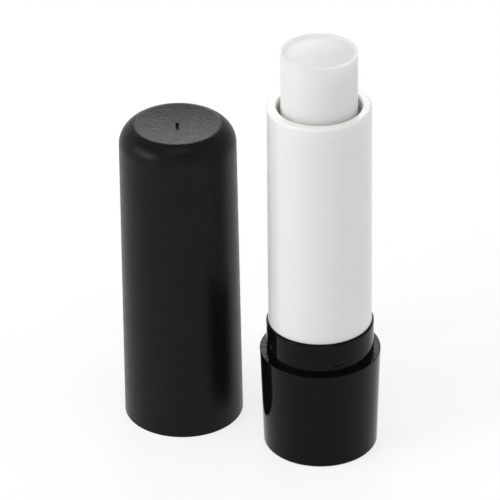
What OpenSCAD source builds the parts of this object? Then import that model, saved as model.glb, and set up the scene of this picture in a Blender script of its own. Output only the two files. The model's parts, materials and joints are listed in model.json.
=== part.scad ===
// Twist-up lip balm stick with its cap taken off and standing beside it.
// Millimetres. +Z runs up the stick, and the origin is the centre of the base's foot.

/* [Body] */
// Diameter where the closed cap's mouth meets the base's shoulder, flush
body_d = 19.1; // [18.4:0.1:24]
// Diameter of the base's foot
foot_d = 18.1; // [16.8:0.1:24]
// Height of the base's skirt, from the foot to the shoulder
skirt_h = 17; // [12:0.5:26]
// Rounding of the foot's edge
foot_edge = 0.4; // [0.2:0.05:0.8]
// Rounding of the shoulder's edge
shoulder_edge = 0.1; // [0.05:0.05:0.45]

/* [Collar] */
// Diameter of the collar that the cap grips
collar_d = 16.96; // [16.3:0.02:17.2]
// Height of the collar above the shoulder
collar_h = 5.15; // [3.6:0.05:9]
// Rounding of the collar's top edge
collar_edge = 0.15; // [0.05:0.05:0.3]
// Number of grip beads round the collar
bead_count = 4; // [2:1:8]
// Height of a bead's middle above the shoulder
bead_rise = 1.9; // [1.4:0.1:2.6]
// Bead's height along the stick
bead_h = 1.5; // [0.8:0.1:1.8]
// Bead's length round the collar
bead_w = 2.1; // [1:0.1:3]
// How far a bead stands proud of the collar
bead_proud = 0.18; // [0.1:0.02:0.24]
// Turn of the first bead away from the front
bead_turn = 18; // [0:1:44]

/* [Base inside] */
// Floor of the base
base_floor = 1.9; // [1.2:0.1:3]
// Depth of the ring-shaped relief under the floor
relief_depth = 0.4; // [0.2:0.1:0.6]
// Width of the foot's standing ring outside the relief
foot_ring = 1.4; // [0.8:0.1:2.4]
// Diameter of the pad that stands at the middle of the relief
foot_pad_d = 6.4; // [5:0.2:9]
// Diameter of the hub that holds the spindle
hub_d = 8; // [7:0.2:11]
// Height of the hub above the floor
hub_h = 3.1; // [2.4:0.1:6]
// Number of gussets between the hub and the wall
gusset_count = 6; // [3:1:10]
// Thickness of a gusset
gusset_t = 0.9; // [0.6:0.1:1.4]
// Height of a gusset above the floor
gusset_h = 2.2; // [1:0.1:2.9]

/* [Barrel] */
// Diameter of the barrel just above the collar
barrel_d = 16.34; // [15.9:0.02:16.7]
// Height of the barrel above its step
barrel_h = 38; // [28:0.5:60]
// Draft of the barrel's outside, narrowing towards its rim
barrel_draft = 0.15; // [0:0.05:0.3]
// Bore that the carrier runs in
bore_d = 13.2; // [12.8:0.1:13.4]
// Diameter of the spigot that turns inside the base
spigot_d = 14.9; // [14.6:0.1:15.2]
// Floor of the barrel
barrel_floor = 1.2; // [0.8:0.1:2.4]
// Rounding of the rim's outer edge
rim_edge = 0.42; // [0.1:0.02:0.5]
// Rounding of the rim's inner edge
rim_inner_edge = 0.25; // [0.1:0.05:0.4]
// Chamfer at the spigot's foot
spigot_chamfer = 0.4; // [0.2:0.1:0.6]

/* [Guide ribs] */
// Number of ribs that stop the carrier from turning
rib_count = 4; // [2:1:6]
// How far a rib stands into the bore
rib_proud = 0.5; // [0.4:0.05:0.55]
// Width of a rib
rib_w = 1; // [0.6:0.1:2]
// Distance from the ribs' top down from the rim
rib_drop = 4; // [2:0.5:8]

/* [Spindle] */
// Travel of the carrier for one turn of the base
lead = 4; // [3:0.25:5]
// Diameter of the screw's core
core_d = 3.8; // [3:0.1:4.2]
// Height of the thread over the core
thread_h = 1; // [0.6:0.05:1.2]
// Width of the thread at the core
thread_root = 1.8; // [1.3:0.1:2.2]
// Width of the thread at its crest
thread_crest = 0.9; // [0.5:0.1:1.2]
// Diameter of the plug pressed into the hub
plug_d = 4.8; // [4:0.1:5.2]
// Chamfer that leads the plug into the hub
plug_chamfer = 0.3; // [0.1:0.05:0.6]
// Diameter of the journal that turns in the barrel's floor
journal_d = 5.3; // [5.3:0.1:6.5]
// Diameter of the thrust flange
flange_d = 10; // [8:0.5:12]
// Thickness of the thrust flange
flange_t = 1; // [0.6:0.1:2]
// Chamfer of the tip above the thread
tip_h = 0.6; // [0.3:0.1:1.2]

/* [Carrier] */
// Height of the carrier's cup
carrier_h = 8; // [6.5:0.5:14]
// Floor of the cup
carrier_floor = 1; // [0.6:0.1:2]
// Inside diameter of the cup, where it grips the balm
cup_d = 10.8; // [9.8:0.1:11]
// Diameter of the nut
nut_d = 8.2; // [7.6:0.1:9]
// Height of the nut
nut_h = 5; // [4:0.25:6.5]
// Distance from the barrel's rim down to the cup's rim when fully raised
carrier_stop = 2.6; // [1:0.2:6]

/* [Balm] */
// Diameter of the balm
balm_d = 11.82; // [11:0.02:11.9]
// How far the carrier is wound up from its lowest place
extension = 10.6; // [0:0.2:30]
// Depth of the balm's lip below the barrel's rim when wound down
balm_park = 1.35; // [1:0.05:6]
// Width of the thin lip round the tip
lip_w = 0.3; // [0.25:0.05:1]
// Depth of the crease inside the lip
lip_depth = 0.55; // [0.1:0.05:0.8]
// Width of the crease between the lip and the dome
crease_w = 0.1; // [0.05:0.05:0.5]
// Height of the dome over the crease
dome_h = 1.25; // [0.6:0.05:2]
// Rounding of the balm's edges
balm_edge = 0.12; // [0.05:0.01:0.2]

/* [Cap] */
// Room left above the barrel's rim inside the closed cap
cap_headroom = 7.4; // [4:0.1:14]
// Wall of the cap above its mouth
cap_wall = 0.95; // [0.8:0.05:0.95]
// Thickness of the cap's top, before the dish is cut in it
cap_top_wall = 1.6; // [1.2:0.1:3]
// Draft of the cap's outside, narrowing towards its top
cap_draft = 0.42; // [0.2:0.02:0.42]
// Rounding of the cap's top edge
cap_edge = 3.6; // [2.4:0.1:4.4]
// Rounding of the mouth's outer edge
mouth_edge = 0.2; // [0.1:0.05:0.4]
// Chamfer that leads the collar into the mouth
mouth_chamfer = 0.3; // [0.1:0.05:0.4]
// How far the mouth's straight bore runs past the collar
mouth_run = 0.6; // [0.3:0.1:2]
// Diameter of the shallow dish in the top
dish_d = 13.5; // [11.5:0.1:14.5]
// Depth of the dish at its middle
dish_depth = 0.3; // [0.1:0.05:0.5]
// Diameter of the gate mark at the dish's middle
gate_d = 0.5; // [0.4:0.1:1]
// Height of the gate mark
gate_h = 0.6; // [0.1:0.05:0.8]

/* [Cap's place] */
// Where the loose cap stands, left or right of the stick's axis
cap_x = -21.9; // [-60:0.1:-20]
// Where the loose cap stands, in front of or behind the stick's axis
cap_y = 9.7; // [-20:0.1:20]

/* [Fits] */
// Gap between the collar and the cap's mouth, each side
cap_fit = 0.14; // [0.06:0.02:0.2]
// Gap round a bead in the groove inside the mouth
bead_fit = 0.04; // [0.02:0.02:0.1]
// Gap between turning round faces, each side
turn_fit = 0.1; // [0.04:0.01:0.12]
// Gap between turning flat faces
end_play = 0.1; // [0.05:0.01:0.2]
// Gap between the carrier and the barrel, each side
slide_fit = 0.15; // [0.08:0.01:0.2]
// Gap between the spindle's thread and the nut, on every side
thread_fit = 0.15; // [0.08:0.01:0.2]
// Gap between the balm and the spindle's thread
balm_clear = 0.2; // [0.1:0.05:0.4]
// Gap between the wound-down carrier and the thrust flange
park_gap = 0.4; // [0.2:0.1:2]

/* [Hidden] */
$fn = 96;
// How far cutting and joining shapes run past the faces that they meet
over = 0.3;
// Straight steps in the section of a rounded edge
edge_steps = 12;
// Straight steps in one turn of the thread
turn_steps = 24;
// Steps over which the thread fades into the core at each end
fade_steps = 8;

shoulder_r = body_d / 2;
collar_r = collar_d / 2;
spigot_r = spigot_d / 2;
well_r = spigot_r + turn_fit;
bore_r = bore_d / 2;
core_r = core_d / 2;
thread_r = core_r + thread_h;
cup_r = cup_d / 2;
balm_r = balm_d / 2;

collar_top = skirt_h + collar_h;
step_z = collar_top + end_play;
rim_z = step_z + barrel_h;
plug_z = base_floor + end_play;
hub_top = base_floor + hub_h;
spigot_z = hub_top + end_play;
barrel_floor_top = spigot_z + barrel_floor;
flange_z = barrel_floor_top + end_play;
flange_top = flange_z + flange_t;

// The carrier's lowest, highest and present places, all for its underside
park_z = flange_top + park_gap;
raised_z = rim_z - carrier_stop - carrier_h;
carrier_z = park_z + extension;
screw_top = raised_z + nut_h;
lip_z = rim_z - balm_park + extension;

foot_flare = atan((shoulder_r - foot_d / 2) / skirt_h);
cap_cavity_h = rim_z - skirt_h + cap_headroom;
cap_h = cap_cavity_h + cap_top_wall;
mouth_r = collar_r + cap_fit;
mouth_depth = collar_h + mouth_run;

// Radius, at height z, of a side that starts at radius r and narrows by the draft
function side(r, draft, z) = r - z * tan(draft);

// Middle of the rounding that is tangent to such a side, at height z
function rounding(r, draft, edge, z) = [side(r, draft, z) - edge / cos(draft), z];

// Points of an arc about a middle, from one angle to another
function arc(middle, r, from, to) = [
  for (i = [0:edge_steps])
    let (a = from + (to - from) * i / edge_steps)
      middle + r * [cos(a), sin(a)]
];

// Half outline of a turned body: a drafted side, with its foot and its top rounded
module turned(r, draft, h, foot, top) {
  low = rounding(r, draft, foot, foot);
  high = rounding(r, draft, top, h - top);
  polygon(concat([[0, 0]], arc(low, foot, -90, draft), arc(high, top, draft, 90), [[0, h]]));
}

// Half outline of a plain disc or pin between two heights
module step_outline(r, z0, z1) {
  translate([0, z0])
    square([r, z1 - z0]);
}

// One ring of the thread's section, at a height on the helix
function thread_ring(z, root_r, crest_r, root_w, crest_w) = [
  for (p = [[root_r, -root_w], [crest_r, -crest_w], [crest_r, crest_w], [root_r, root_w]])
    [p.x * cos(360 * z / lead), p.x * sin(360 * z / lead), z + p.y / 2]
];

// Right-hand thread between two heights, gap larger on every side, fading out over its end steps
module thread(z0, z1, gap, fade) {
  pitch = lead / turn_steps;
  first = ceil(z0 / pitch);
  last = floor(z1 / pitch);
  root_r = core_r + gap - over;
  sunk_r = root_r + over / 3;
  crest_r = thread_r + gap;
  rings = [
    for (i = [first:last])
      let (grown = fade > 0 ? min(1, (i - first) / fade, (last - i) / fade) : 1)
        thread_ring(i * pitch, root_r, sunk_r + (crest_r - sunk_r) * grown,
          thread_root + 2 * gap, thread_crest + 2 * gap)
  ];
  points = [for (ring = rings) each ring];
  end = len(points) - 4;
  sides = [
    for (i = [0:last - first - 1], k = [0:3])
      let (a = 4 * i + k, b = 4 * i + (k + 1) % 4)
        each [[a, b, b + 4], [a, b + 4, a + 4]]
  ];
  ends = [[2, 1, 0], [3, 2, 0], [end, end + 1, end + 2], [end, end + 2, end + 3]];
  polyhedron(points, concat(ends, sides));
}

// Copies set evenly round the axis, starting at a given turn
module around(count, start = 0) {
  for (i = [0:count - 1])
    rotate(start + i * 360 / count)
      children();
}

// Torus segment that stands proud of the collar by bead_proud
module grip_bead() {
  ball = (pow(bead_h / 2, 2) + pow(bead_proud, 2)) / (2 * bead_proud);
  span = bead_w / collar_r * 180 / PI;
  rotate(-span / 2)
    rotate_extrude(angle = span)
      translate([0, skirt_h + bead_rise])
        intersection() {
          translate([collar_r + bead_proud - ball, 0])
            circle(ball);
          translate([collar_r - over, -ball])
            square([over + bead_proud, 2 * ball]);
        }
}

module base_shell() {
  color("#161617") {
    difference() {
      rotate_extrude() {
        turned(foot_d / 2, -foot_flare, skirt_h, foot_edge, shoulder_edge);
        turned(collar_r, 0, collar_top, foot_edge, collar_edge);
      }
      rotate_extrude()
        difference() {
          step_outline(well_r, base_floor, collar_top + over);
          step_outline(hub_d / 2, base_floor - over, hub_top);
        }
      translate([0, 0, base_floor])
        cylinder(h = hub_h + over, d = plug_d);
      rotate_extrude()
        difference() {
          step_outline(foot_d / 2 - foot_ring, -over, relief_depth);
          step_outline(foot_pad_d / 2, -2 * over, relief_depth + over);
        }
    }
    around(gusset_count)
      translate([hub_d / 2 - over, -gusset_t / 2, base_floor - over])
        cube([well_r - hub_d / 2 + 2 * over, gusset_t, gusset_h + over]);
    around(bead_count, bead_turn - 90)
      grip_bead();
  }
}

module barrel() {
  color("#f1f1f0") {
    difference() {
      rotate_extrude() {
        translate([0, step_z])
          turned(barrel_d / 2, barrel_draft, barrel_h, collar_edge, rim_edge);
        polygon([
          [0, spigot_z], [spigot_r - spigot_chamfer, spigot_z], [spigot_r, spigot_z + spigot_chamfer],
          [spigot_r, step_z + over], [0, step_z + over]
        ]);
      }
      rotate_extrude()
        step_outline(bore_r, barrel_floor_top, rim_z + over);
      rotate_extrude()
        step_outline(journal_d / 2 + turn_fit, spigot_z - over, barrel_floor_top + over);
      rotate_extrude()
        polygon(concat(
          [[bore_r + rim_inner_edge, rim_z + over], [bore_r - over, rim_z + over]],
          [[bore_r - over, rim_z - rim_inner_edge]],
          arc([bore_r + rim_inner_edge, rim_z - rim_inner_edge], rim_inner_edge, 180, 90)
        ));
    }
    around(rib_count, 45)
      translate([bore_r - rib_proud, -rib_w / 2, barrel_floor_top - over])
        cube([rib_proud + over, rib_w, rim_z - rib_drop - barrel_floor_top + over]);
  }
}

module spindle() {
  color("#ececea") {
    rotate_extrude()
      polygon([
        [0, plug_z], [plug_d / 2 - plug_chamfer, plug_z],
        [plug_d / 2, plug_z + plug_chamfer], [plug_d / 2, hub_top],
        [journal_d / 2, hub_top], [journal_d / 2, flange_z],
        [flange_d / 2, flange_z], [flange_d / 2, flange_top], [core_r, flange_top],
        [core_r, screw_top], [core_r - tip_h, screw_top + tip_h], [0, screw_top + tip_h]
      ]);
    thread(flange_top + thread_root / 2, screw_top - thread_root / 2, 0, fade_steps);
  }
}

module carrier() {
  outer_r = bore_r - slide_fit;
  color("#ececea")
    difference() {
      translate([0, 0, carrier_z])
        rotate_extrude()
          difference() {
            turned(outer_r, 0, carrier_h, collar_edge, collar_edge);
            difference() {
              step_outline(cup_r, carrier_floor, carrier_h + over);
              step_outline(nut_d / 2, 0, nut_h);
            }
          }
      translate([0, 0, carrier_z - over])
        cylinder(h = nut_h + 2 * over, r = core_r + thread_fit);
      thread(carrier_z - lead / 2, carrier_z + nut_h + lead / 2, thread_fit, 0);
      around(rib_count, 45)
        translate([bore_r - rib_proud - slide_fit, -rib_w / 2 - slide_fit, carrier_z - over])
          cube([rib_proud + slide_fit + over, rib_w + 2 * slide_fit, carrier_h + 2 * over]);
    }
}

module balm() {
  lip_r = balm_r - lip_w;
  dome_r = lip_r - crease_w;
  dome_ball = (pow(dome_r, 2) + pow(dome_h, 2)) / (2 * dome_h);
  foot_z = carrier_z + carrier_floor;
  cup_rim = carrier_z + carrier_h;
  color("#f3f1ea")
    difference() {
      rotate_extrude() {
        translate([0, cup_rim])
          difference() {
            turned(balm_r, 0, lip_z - cup_rim, balm_edge, balm_edge);
            step_outline(lip_r, lip_z - cup_rim - lip_depth, lip_z - cup_rim + over);
          }
        step_outline(cup_r, foot_z, cup_rim + balm_edge);
        intersection() {
          translate([0, lip_z - lip_depth + dome_h - dome_ball])
            circle(dome_ball);
          step_outline(dome_r, lip_z - lip_depth - over, lip_z + dome_h);
        }
      }
      translate([0, 0, foot_z - over])
        cylinder(h = screw_top + tip_h + extension + balm_clear - foot_z + over, r = thread_r + balm_clear);
      translate([0, 0, foot_z - over])
        cylinder(h = nut_h - carrier_floor + over, d = nut_d);
    }
}

module cap() {
  top_middle = rounding(shoulder_r, cap_draft, cap_edge, cap_h - cap_edge);
  dish_r = dish_d / 2;
  dish_rim = top_middle.y + sqrt(pow(cap_edge, 2) - pow(dish_r - top_middle.x, 2));
  dish_ball = (pow(dish_r, 2) + pow(dish_depth, 2)) / (2 * dish_depth);
  dish_floor = dish_rim - dish_depth;
  groove_r = collar_r + bead_proud + bead_fit;
  groove_h = bead_h + 2 * bead_fit;
  color("#1d1d1e")
    translate([cap_x, cap_y, 0]) {
      rotate_extrude()
        difference() {
          turned(shoulder_r, cap_draft, cap_h, mouth_edge, cap_edge);
          turned(shoulder_r - cap_wall, cap_draft, cap_cavity_h, mouth_edge, cap_edge - cap_wall);
          polygon([
            [0, -over], [mouth_r + mouth_chamfer + over, -over], [mouth_r, mouth_chamfer],
            [mouth_r, mouth_depth], [side(shoulder_r - cap_wall, cap_draft, mouth_depth), mouth_depth + over],
            [0, mouth_depth + over]
          ]);
          step_outline(groove_r, bead_rise - groove_h / 2, bead_rise + groove_h / 2);
          translate([0, dish_floor + dish_ball])
            circle(dish_ball, $fn = 720);
        }
      translate([0, 0, dish_floor - over])
        cylinder(h = gate_h + over, d = gate_d);
    }
}

cap();
barrel();
base_shell();
spindle();
carrier();
balm();
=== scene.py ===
import json
import math

import bmesh
import bpy
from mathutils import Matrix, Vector


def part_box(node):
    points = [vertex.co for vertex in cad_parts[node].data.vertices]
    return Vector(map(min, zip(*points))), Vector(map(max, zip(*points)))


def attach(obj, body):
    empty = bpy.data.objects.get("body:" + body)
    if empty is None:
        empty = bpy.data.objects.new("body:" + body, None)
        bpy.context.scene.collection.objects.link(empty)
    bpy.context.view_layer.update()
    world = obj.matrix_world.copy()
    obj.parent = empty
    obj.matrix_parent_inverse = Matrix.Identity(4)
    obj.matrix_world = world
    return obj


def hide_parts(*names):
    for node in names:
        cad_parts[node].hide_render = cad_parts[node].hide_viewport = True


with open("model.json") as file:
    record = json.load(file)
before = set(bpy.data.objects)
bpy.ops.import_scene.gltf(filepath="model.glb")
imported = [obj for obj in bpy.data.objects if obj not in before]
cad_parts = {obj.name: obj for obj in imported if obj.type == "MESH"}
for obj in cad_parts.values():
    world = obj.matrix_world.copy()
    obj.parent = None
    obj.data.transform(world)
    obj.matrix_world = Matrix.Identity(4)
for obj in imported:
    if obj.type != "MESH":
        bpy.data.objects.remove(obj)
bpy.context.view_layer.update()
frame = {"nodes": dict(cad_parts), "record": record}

# Camera
# A long lens 0.62 m away, a little over 30 degrees above the table and tilted by under a degree.
camera_place = (-0.01086, -0.52128, 0.34063)
camera_drop = math.radians(30.402)
camera_tilt = math.radians(-0.824)
picture_pixels = 500
focal_pixels = 3883.4

bpy.ops.object.camera_add(location=camera_place)
camera = bpy.context.object
camera.rotation_mode = "ZYX"
camera.rotation_euler = (math.pi / 2 - camera_drop, 0, camera_tilt)
camera.data.lens = camera.data.sensor_width * focal_pixels / picture_pixels
bpy.context.scene.camera = camera

# Base shell
# The part that is held and turned. It is one moulding of polished black plastic: a skirt, a shoulder
# that the cap comes down to, and a collar with four small beads that the cap snaps over. Inside, six
# gussets brace the hub that the screw is pressed into.
mm = 0.001
mounts = {mount["name"]: mount for mount in frame["record"]["mounts"]}
collar_radius = mounts["collar"]["dims"]["r_mm"] * mm
collar_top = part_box("base_shell")[1].z
shoulder_radius = 9.55 * mm
shoulder_height = 17 * mm
foot_radius = 9.05 * mm
foot_edge = 0.4 * mm
collar_edge = 0.15 * mm
small_edge = 0.1 * mm
foot_ring_radius = 7.65 * mm
foot_pad_radius = 3.2 * mm
foot_relief = 0.4 * mm
well_radius = 7.55 * mm
well_floor = 1.9 * mm
hub_radius = 4 * mm
hub_top = 5 * mm
plug_radius = 2.4 * mm
gusset_thickness = 0.9 * mm
gusset_height = 2.2 * mm
gusset_count = 6
gusset_overlap = 0.4 * mm
bead_count = 4
bead_turn = math.radians(-72)
bead_middle = 18.9 * mm
bead_half = Vector((0.5, 1.37, 0.98)) * mm
bead_proud = 0.18 * mm
ring_points = 192
rounding_steps = 6
strip = 0.03 * mm
corner_reach = 0.002 * mm
merge_reach = 0.0001 * mm
stick_axis = Vector((0, 0, 0))


def turn(name, axis, corners):
    """Pushes a ring through the corners of an outline, about an upright axis.

    A corner is (radius, height), with a third number where it is rounded. The ring starts filled if
    the outline starts on the axis, and closes on the axis or on itself. A narrow strip is left beside
    each rounding, so that the flats next to it are shaded flat."""
    places = [Vector(corner[:2]) for corner in corners]
    rings, rounded = [], []
    for number, corner in enumerate(corners):
        place = places[number]
        if len(corner) == 2:
            rings.append(place)
            continue
        before = (places[number - 1] - place).normalized()
        after = (places[number + 1] - place).normalized()
        rings += [place + before * (corner[2] + strip), place, place + after * (corner[2] + strip)]
        rounded.append((place, corner[2]))
    filled = places[0].x == 0
    radius, height = rings[filled]
    bpy.ops.object.select_all(action="DESELECT")
    bpy.ops.mesh.primitive_circle_add(
        vertices=ring_points,
        radius=radius,
        location=(axis.x, axis.y, height),
        fill_type="TRIFAN" if filled else "NOTHING",
    )
    piece = bpy.context.object
    piece.name = piece.data.name = name
    bpy.ops.object.transform_apply()
    bpy.ops.object.mode_set(mode="EDIT")
    bpy.ops.mesh.select_mode(type="EDGE")
    select_edges(piece, lambda edge: edge.is_boundary or edge.is_wire)
    for next_radius, next_height in rings[1 + filled:]:
        bpy.ops.mesh.extrude_region_move(
            TRANSFORM_OT_translate={"value": (0, 0, next_height - height)}
        )
        if next_radius == 0:
            bpy.ops.mesh.merge(type="CENTER")
            break
        bpy.ops.transform.resize(
            value=(next_radius / radius, next_radius / radius, 1),
            center_override=(axis.x, axis.y, next_height),
        )
        radius, height = next_radius, next_height
    for place, size in rounded:
        def lies_on_corner(vertex):
            out = math.hypot(vertex.co.x - axis.x, vertex.co.y - axis.y)
            return math.hypot(out - place.x, vertex.co.z - place.y) < corner_reach
        select_edges(piece, lambda edge: all(lies_on_corner(vertex) for vertex in edge.verts))
        bpy.ops.mesh.bevel(offset=size, segments=rounding_steps, profile=0.5, affect="EDGES")
    bpy.ops.mesh.select_all(action="SELECT")
    bpy.ops.mesh.remove_doubles(threshold=merge_reach)
    bpy.ops.mesh.normals_make_consistent(inside=False)
    bpy.ops.mesh.select_all(action="DESELECT")
    bpy.ops.object.mode_set(mode="OBJECT")
    return piece


def select_edges(piece, wanted):
    """Selects the edges of the piece in edit mode that the test picks, and no others."""
    shape = bmesh.from_edit_mesh(piece.data)
    for part in (*shape.faces, *shape.edges, *shape.verts):
        part.select = False
    for edge in [edge for edge in shape.edges if wanted(edge)]:
        edge.select = True
    shape.select_flush_mode()
    bmesh.update_edit_mesh(piece.data)


def join(piece, tool):
    """Joins a second solid to the piece, and removes the second object."""
    bpy.ops.object.select_all(action="DESELECT")
    piece.select_set(True)
    bpy.context.view_layer.objects.active = piece
    bpy.ops.object.modifier_add(type="BOOLEAN")
    modifier = piece.modifiers[-1]
    modifier.object = tool
    modifier.operation = "UNION"
    modifier.solver = "EXACT"
    bpy.ops.object.modifier_apply(modifier=modifier.name)
    bpy.data.objects.remove(tool)


def smooth(piece, sharp_from=20):
    """Shades the piece smooth, except across edges sharper than that many degrees."""
    bpy.ops.object.select_all(action="DESELECT")
    piece.select_set(True)
    bpy.context.view_layer.objects.active = piece
    bpy.ops.object.shade_smooth_by_angle(angle=math.radians(sharp_from))


base = turn("base_moulding", stick_axis, [
    (0, 0),
    (foot_pad_radius, 0, small_edge),
    (foot_pad_radius, foot_relief),
    (foot_ring_radius, foot_relief),
    (foot_ring_radius, 0, small_edge),
    (foot_radius, 0, foot_edge),
    (shoulder_radius, shoulder_height, small_edge),
    (collar_radius, shoulder_height),
    (collar_radius, bead_middle - bead_half.z),
    (collar_radius, bead_middle + bead_half.z),
    (collar_radius, collar_top, collar_edge),
    (well_radius, collar_top, small_edge),
    (well_radius, well_floor),
    (hub_radius, well_floor),
    (hub_radius, hub_top, small_edge),
    (plug_radius, hub_top),
    (plug_radius, well_floor),
    (0, well_floor),
])
for step in range(bead_count):
    around = bead_turn + step * math.tau / bead_count
    reach = collar_radius + bead_proud - bead_half.x
    bpy.ops.mesh.primitive_uv_sphere_add(
        segments=40,
        ring_count=24,
        radius=1,
        location=(reach * math.cos(around), reach * math.sin(around), bead_middle),
        rotation=(0, 0, around),
        scale=bead_half,
    )
    join(base, bpy.context.object)
for step in range(gusset_count):
    around = step * math.tau / gusset_count
    middle = (hub_radius + well_radius) / 2
    bpy.ops.mesh.primitive_cube_add(
        size=1,
        location=(middle * math.cos(around), middle * math.sin(around), well_floor + gusset_height / 2),
        rotation=(0, 0, around),
        scale=(well_radius - hub_radius + gusset_overlap, gusset_thickness, gusset_height),
    )
    join(base, bpy.context.object)
smooth(base)


def finish_material(name, roughness, ior=1.5, specular=0.5):
    """A new material with its shader. The roughness holds until a pattern is linked to it."""
    made = bpy.data.materials.new(name)
    made.use_nodes = True
    shader = made.node_tree.nodes["Principled BSDF"]
    shader.inputs["Roughness"].default_value = roughness
    shader.inputs["IOR"].default_value = ior
    shader.inputs["Specular IOR Level"].default_value = specular
    return made, made.node_tree.nodes, made.node_tree.links, shader


def noise(nodes, links, scale, detail=2, stretch=(1, 1, 1)):
    """A noise pattern fixed to the piece, scale in blotches per millimetre."""
    place = nodes.new("ShaderNodeTexCoord")
    mapping = nodes.new("ShaderNodeMapping")
    mapping.inputs["Scale"].default_value = stretch
    texture = nodes.new("ShaderNodeTexNoise")
    texture.inputs["Scale"].default_value = scale / mm
    texture.inputs["Detail"].default_value = detail
    links.new(place.outputs["Object"], mapping.inputs["Vector"])
    links.new(mapping.outputs["Vector"], texture.inputs["Vector"])
    return texture.outputs["Fac"]


def between(nodes, links, pattern, low, high, start=0.3, end=0.7):
    """A value that goes from low to high as the pattern goes from start to end."""
    spread = nodes.new("ShaderNodeMapRange")
    spread.inputs["From Min"].default_value = start
    spread.inputs["From Max"].default_value = end
    spread.inputs["To Min"].default_value = low
    spread.inputs["To Max"].default_value = high
    links.new(pattern, spread.inputs["Value"])
    return spread.outputs["Result"]


def combine(nodes, links, operation, first, second):
    """One value out of two, by that operation of the Math node."""
    maths = nodes.new("ShaderNodeMath")
    maths.operation = operation
    links.new(first, maths.inputs[0])
    links.new(second, maths.inputs[1])
    return maths.outputs[0]


def upward(nodes, links, measured="Object"):
    """The upward part of a point in the piece, or of a direction if Generated is measured."""
    place = nodes.new("ShaderNodeTexCoord")
    parts = nodes.new("ShaderNodeSeparateXYZ")
    links.new(place.outputs[measured], parts.inputs["Vector"])
    return parts.outputs["Z"]


def tint(nodes, links, pattern, dark, light):
    """A colour that goes from dark to light with the pattern."""
    ramp = nodes.new("ShaderNodeValToRGB")
    ramp.color_ramp.elements[0].position = 0.3
    ramp.color_ramp.elements[0].color = (*dark, 1)
    ramp.color_ramp.elements[1].position = 0.7
    ramp.color_ramp.elements[1].color = (*light, 1)
    links.new(pattern, ramp.inputs["Fac"])
    return ramp.outputs["Color"]


def relief(nodes, links, pattern, depth, under=None):
    """A fine relief of that depth in metres, laid over another one if there is one."""
    bump = nodes.new("ShaderNodeBump")
    bump.inputs["Strength"].default_value = 1
    bump.inputs["Distance"].default_value = depth
    links.new(pattern, bump.inputs["Height"])
    if under:
        links.new(under, bump.inputs["Normal"])
    return bump.outputs["Normal"]


polished, nodes, links, shader = finish_material("polished_black", 0.1, specular=0.1)
links.new(
    tint(nodes, links, noise(nodes, links, 0.4), (0.0030, 0.0030, 0.0031), (0.0042, 0.0042, 0.0043)),
    shader.inputs["Base Color"],
)
grain_edge = 0.04 * mm
grain_fade = 0.08 * mm
height = upward(nodes, links)
rising = between(
    nodes, links, height, 0, 1, shoulder_height - grain_fade, shoulder_height - grain_edge
)
falling = between(
    nodes, links, height, 1, 0, shoulder_height + grain_edge, shoulder_height + grain_fade
)
on_shoulder = combine(nodes, links, "MULTIPLY", rising, falling)
grain = between(nodes, links, noise(nodes, links, 2.4, 1), -1, 1)
sparkle = combine(nodes, links, "MULTIPLY", grain, on_shoulder)
coarse = nodes.new("ShaderNodeMix")
links.new(on_shoulder, coarse.inputs["Factor"])
links.new(between(nodes, links, noise(nodes, links, 0.25, 4), 0.07, 0.13), coarse.inputs["A"])
coarse.inputs["B"].default_value = 0.15
links.new(coarse.outputs["Result"], shader.inputs["Roughness"])
waves = relief(nodes, links, noise(nodes, links, 0.9, 1), 0.0015 * mm)
links.new(relief(nodes, links, sparkle, 0.012 * mm, waves), shader.inputs["Normal"])
base.data.materials.append(polished)
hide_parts("base_shell")
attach(base, "base")

# Spindle and carrier
# The works, both moulded in natural white plastic. The spindle is pressed into the base and turns with
# it. Its thread raises the carrier, whose notches slide on the barrel's ribs. Both keep their CAD shape.
natural, nodes, links, shader = finish_material("natural_white_plastic", 0.3)
shader.inputs["Subsurface Weight"].default_value = 0.6
shader.inputs["Subsurface Radius"].default_value = (1, 0.95, 0.85)
shader.inputs["Subsurface Scale"].default_value = 1 * mm
links.new(
    tint(nodes, links, noise(nodes, links, 0.2), (0.80, 0.79, 0.75), (0.84, 0.83, 0.80)),
    shader.inputs["Base Color"],
)
links.new(between(nodes, links, noise(nodes, links, 0.5, 4), 0.24, 0.36), shader.inputs["Roughness"])
links.new(relief(nodes, links, noise(nodes, links, 2), 0.004 * mm), shader.inputs["Normal"])
for node in ("spindle", "carrier"):
    frame["nodes"][node].material_slots[0].material = natural

# Barrel
# The white tube round the balm, a smooth moulding with a slight draft. Its spigot goes down into the
# base and is held there by the spindle's flange, and four ribs in its bore keep the carrier from turning.
barrel_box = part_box("barrel")
spigot_radius = 7.45 * mm
spigot_chamfer = 0.4 * mm
step_height = 22.25 * mm
barrel_radius = 8.17 * mm
barrel_draft = math.radians(0.15)
step_edge = 0.15 * mm
rim_edge = 0.42 * mm
rim_inner_edge = 0.25 * mm
bore_radius = 6.6 * mm
bore_floor = 6.3 * mm
journal_radius = 2.75 * mm
rib_count = 4
rib_width = 1 * mm
rib_proud = 0.5 * mm
rib_drop = 4 * mm
rib_in_wall = 0.3 * mm
rib_reach = bore_radius + (rib_in_wall - rib_proud) / 2
rib_low, rib_high = bore_floor - rib_in_wall, barrel_box[1].z - rib_drop
rim_radius = barrel_radius - (barrel_box[1].z - step_height) * math.tan(barrel_draft)

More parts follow.
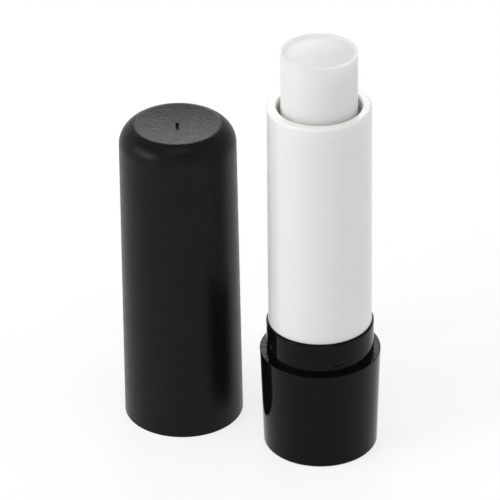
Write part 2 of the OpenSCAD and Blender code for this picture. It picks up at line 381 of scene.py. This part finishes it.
barrel = turn("barrel_tube", stick_axis, [
    (journal_radius, barrel_box[0].z),
    (spigot_radius - spigot_chamfer, barrel_box[0].z),
    (spigot_radius, barrel_box[0].z + spigot_chamfer),
    (spigot_radius, step_height),
    (barrel_radius, step_height, step_edge),
    (rim_radius, barrel_box[1].z, rim_edge),
    (bore_radius, barrel_box[1].z, rim_inner_edge),
    (bore_radius, bore_floor),
    (journal_radius, bore_floor),
    (journal_radius, barrel_box[0].z),
])
for step in range(rib_count):
    around = (step + 0.5) * math.tau / rib_count
    bpy.ops.mesh.primitive_cube_add(
        size=1,
        location=(
            rib_reach * math.cos(around), rib_reach * math.sin(around), (rib_low + rib_high) / 2
        ),
        rotation=(0, 0, around),
        scale=(rib_proud + rib_in_wall, rib_width, rib_high - rib_low),
    )
    join(barrel, bpy.context.object)
smooth(barrel)

white, nodes, links, shader = finish_material("white_plastic", 0.22)
shader.inputs["Subsurface Weight"].default_value = 1
shader.inputs["Subsurface Radius"].default_value = (1.0, 1.0, 1.0)
shader.inputs["Subsurface Scale"].default_value = 0.8 * mm
links.new(
    tint(nodes, links, noise(nodes, links, 0.15), (0.920, 0.917, 0.907), (0.930, 0.927, 0.920)),
    shader.inputs["Base Color"],
)
links.new(between(nodes, links, noise(nodes, links, 0.4, 4), 0.18, 0.27), shader.inputs["Roughness"])
links.new(
    relief(nodes, links, noise(nodes, links, 0.12, 1, (1, 1, 0.4)), 0.02 * mm),
    shader.inputs["Normal"],
)
barrel.data.materials.append(white)
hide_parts("barrel")
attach(barrel, "barrel")

# Balm
# The stick of wax, cast in a mould and held in the carrier's cup. Its tip has a thin raised lip round
# a low dome, with a crease between them, and it is hollow where the screw passes up inside it.
balm_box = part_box("balm")
balm_radius = 5.91 * mm
balm_edge = 0.12 * mm
cup_rim = 26.4 * mm
cup_radius = 5.4 * mm
nut_radius = 4.1 * mm
nut_top = 23.4 * mm
screw_radius = 3.1 * mm
screw_room_top = 66.05 * mm
lip_top = 69.5 * mm
lip_radius = 5.61 * mm
lip_inner_edge = 0.07 * mm
lip_outer_edge = 0.16 * mm
crease_height = 68.95 * mm
crease_width = 0.1 * mm
dome_top = balm_box[1].z
dome_radius = lip_radius - crease_width
dome_rise = dome_top - crease_height
dome_ball = (dome_radius**2 + dome_rise**2) / (2 * dome_rise)
dome_steps = 12
dome = []
for step in range(1, dome_steps + 1):
    out = dome_radius * step / dome_steps
    dome.append((out, dome_top - dome_ball + math.sqrt(dome_ball**2 - out**2)))

balm = turn("balm_stick", stick_axis, [
    (0, dome_top),
    *dome,
    (lip_radius, crease_height),
    (lip_radius, lip_top, lip_inner_edge),
    (balm_radius, lip_top, lip_outer_edge),
    (balm_radius, cup_rim, balm_edge),
    (cup_radius, cup_rim),
    (cup_radius, balm_box[0].z),
    (nut_radius, balm_box[0].z),
    (nut_radius, nut_top),
    (screw_radius, nut_top),
    (screw_radius, screw_room_top),
    (0, screw_room_top),
])
smooth(balm, 30)

wax, nodes, links, shader = finish_material("balm_wax", 0.4, ior=1.44, specular=0.15)
shader.inputs["Subsurface Weight"].default_value = 1
shader.inputs["Subsurface Radius"].default_value = (1.0, 1.0, 1.0)
shader.inputs["Subsurface Scale"].default_value = 4 * mm
links.new(
    tint(nodes, links, noise(nodes, links, 0.2), (0.974, 0.950, 0.880), (0.984, 0.964, 0.908)),
    shader.inputs["Base Color"],
)
links.new(between(nodes, links, noise(nodes, links, 0.6, 4), 0.34, 0.5), shader.inputs["Roughness"])
waves = relief(nodes, links, noise(nodes, links, 0.3, 1, (1, 1, 0.3)), 0.05 * mm)
links.new(relief(nodes, links, noise(nodes, links, 1.2, 3), 0.02 * mm, waves), shader.inputs["Normal"])
balm.data.materials.append(wax)
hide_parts("balm")
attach(balm, "carrier")

# Cap
# The cap stands beside the stick on its open mouth. It is one thin black moulding with a satin,
# spark-textured skin. Its top has a shallow dish with the broken-off gate in the middle, and a groove
# inside the mouth snaps over the collar's beads.
cap_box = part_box("cap")
cap_axis = Vector((-21.9, 9.7, 0)) * mm
cap_radius = 9.55 * mm
cap_draft = math.radians(0.42)
mouth_radius = mounts["cap_mouth"]["dims"]["r_mm"] * mm
mouth_depth = 5.75 * mm
mouth_wall = 0.95 * mm
mouth_chamfer = 0.3 * mm
mouth_step = 0.3 * mm
cap_foot_edge = 0.2 * mm
groove_radius = 8.7 * mm
groove_low, groove_high = 1.11 * mm, 2.69 * mm
cavity_top = 50.65 * mm
cavity_rounding = 2.65 * mm
edge_middle = Vector((5.593, 48.65)) * mm
edge_radius = 3.6 * mm
edge_steps = 18
dish_radius = 6.75 * mm
dish_rim = 52.059 * mm
dish_floor = 51.759 * mm
dish_steps = 8
dish_rounding = 0.25 * mm
gate_radius = 0.25 * mm
gate_core = gate_radius * 0.8
gate_edge = 0.06 * mm
gate_fillet = 0.1 * mm
gate_tip = 0.1 * mm
gate_slant = math.radians(14)
gate_top = cap_box[1].z - gate_radius * math.sin(gate_slant)


def cap_wall(radius, height):
    """A point of one of the cap's drafted walls, from its radius at the foot."""
    return radius - height * math.tan(cap_draft), height


dish = []
for step in range(1, dish_steps):
    out = dish_radius * step / dish_steps
    dish.append((out, dish_floor + (dish_rim - dish_floor) * (out / dish_radius) ** 2))
edge = []
edge_start = math.acos((dish_radius - edge_middle.x) / edge_radius)
for step in range(2, edge_steps + 1):
    around = edge_start + (cap_draft - edge_start) * step / edge_steps
    edge.append((
        edge_middle.x + edge_radius * math.cos(around), edge_middle.y + edge_radius * math.sin(around)
    ))

cap = turn("cap_shell", cap_axis, [
    (0, gate_top),
    (gate_core, gate_top),
    (gate_radius, gate_top - gate_edge),
    (gate_radius, dish_floor + gate_fillet),
    (gate_radius + gate_fillet, dish_floor),
    *dish,
    (dish_radius, dish_rim, dish_rounding),
    *edge,
    cap_wall(cap_radius, edge[-1][1] - strip),
    (*cap_wall(cap_radius, 0), cap_foot_edge),
    (mouth_radius + mouth_chamfer, 0),
    (mouth_radius, mouth_chamfer),
    (mouth_radius, groove_low),
    (groove_radius, groove_low),
    (groove_radius, groove_high),
    (mouth_radius, groove_high),
    (mouth_radius, mouth_depth),
    cap_wall(cap_radius - mouth_wall, mouth_depth + mouth_step),
    (*cap_wall(cap_radius - mouth_wall, cavity_top), cavity_rounding),
    (0, cavity_top),
])
bpy.ops.object.mode_set(mode="EDIT")
select_edges(cap, lambda edge: all(vertex.co.z > gate_top - gate_tip for vertex in edge.verts))
bpy.ops.transform.rotate(
    value=gate_slant, orient_axis="X", center_override=(cap_axis.x, cap_axis.y, gate_top)
)
bpy.ops.object.mode_set(mode="OBJECT")
smooth(cap)

satin, nodes, links, shader = finish_material("satin_black", 0.33, specular=0.115)
links.new(
    tint(nodes, links, noise(nodes, links, 0.5), (0.0065, 0.0065, 0.0067), (0.0080, 0.0080, 0.0082)),
    shader.inputs["Base Color"],
)
links.new(between(nodes, links, noise(nodes, links, 0.5, 4), 0.29, 0.36), shader.inputs["Roughness"])
dish_fade = 0.4 * mm
stronger = between(nodes, links, upward(nodes, links), 1, 2, dish_floor - dish_fade, dish_floor)
spark = combine(nodes, links, "MULTIPLY", noise(nodes, links, 3.5, 1), stronger)
links.new(relief(nodes, links, spark, 0.031 * mm), shader.inputs["Normal"])
cap.data.materials.append(satin)
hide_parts("cap")
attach(cap, "cap")

# Table, light and surroundings
# A plain white table under soft light. Two lamps on the left give most of it, one behind, one on the
# right and one above fill in, and the surroundings fade from white at the horizon to grey overhead.
bpy.ops.object.select_all(action="DESELECT")
bpy.ops.mesh.primitive_plane_add(size=6)
table = bpy.context.object
table.name = "table"
table_shade = 0.7
glow_strength = 1.35
glow_share = 0.55
table_white, nodes, links, shader = finish_material("table_white", 0.9, specular=0)
shader.inputs["Base Color"].default_value = (table_shade, table_shade, table_shade, 1)
white_glow = nodes.new("ShaderNodeEmission")
shown = nodes.new("ShaderNodeMixShader")


def seen_directly(nodes, links):
    """1 for what the camera sees, also in glossy surfaces and through clear ones, 0 for other light."""
    rays = nodes.new("ShaderNodeLightPath")
    seen = combine(nodes, links, "MAXIMUM", rays.outputs["Is Camera Ray"], rays.outputs["Is Glossy Ray"])
    return combine(nodes, links, "MAXIMUM", seen, rays.outputs["Is Transmission Ray"])


white_glow.inputs["Strength"].default_value = glow_strength
links.new(between(nodes, links, seen_directly(nodes, links), 0, glow_share, 0, 1), shown.inputs["Fac"])
links.new(shader.outputs["BSDF"], shown.inputs[1])
links.new(white_glow.outputs["Emission"], shown.inputs[2])
links.new(shown.outputs["Shader"], nodes["Material Output"].inputs["Surface"])
table.data.materials.append(table_white)


def lamp(name, azimuth, elevation, distance, size, strength):
    """A square soft lamp that faces the object. Azimuth 0 is the camera's side, and positive is right."""
    out = Vector((
        math.sin(math.radians(azimuth)) * math.cos(math.radians(elevation)),
        -math.cos(math.radians(azimuth)) * math.cos(math.radians(elevation)),
        math.sin(math.radians(elevation)),
    ))
    bpy.ops.object.light_add(type="AREA", location=out * distance)
    made = bpy.context.object
    made.name = name
    made.rotation_euler = out.to_track_quat("Z", "Y").to_euler()
    made.data.size = size
    made.data.energy = strength * math.pi * math.pi * size * size
    made.visible_camera = False


lamp("key", -62, 26, 1.2, 0.4, 2.25)
lamp("left", -88, 26, 1.2, 0.35, 1.2)
lamp("right", 75, 24, 1.2, 0.5, 0.36)
lamp("top", 0, 75, 1.2, 0.6, 0.5)
lamp("back", 180, 25, 1.2, 0.5, 1.02)

world = bpy.data.worlds.new("surroundings")
bpy.context.scene.world = world
world.use_nodes = True
nodes, links = world.node_tree.nodes, world.node_tree.links
background = nodes["Background"]
overhead = 0.2
rise = upward(nodes, links, "Generated")
links.new(between(nodes, links, rise, 1, overhead, 0, 1), background.inputs["Strength"])
background.inputs["Color"].default_value = (1, 1, 1, 1)

bpy.context.scene.view_settings.view_transform = "Standard"
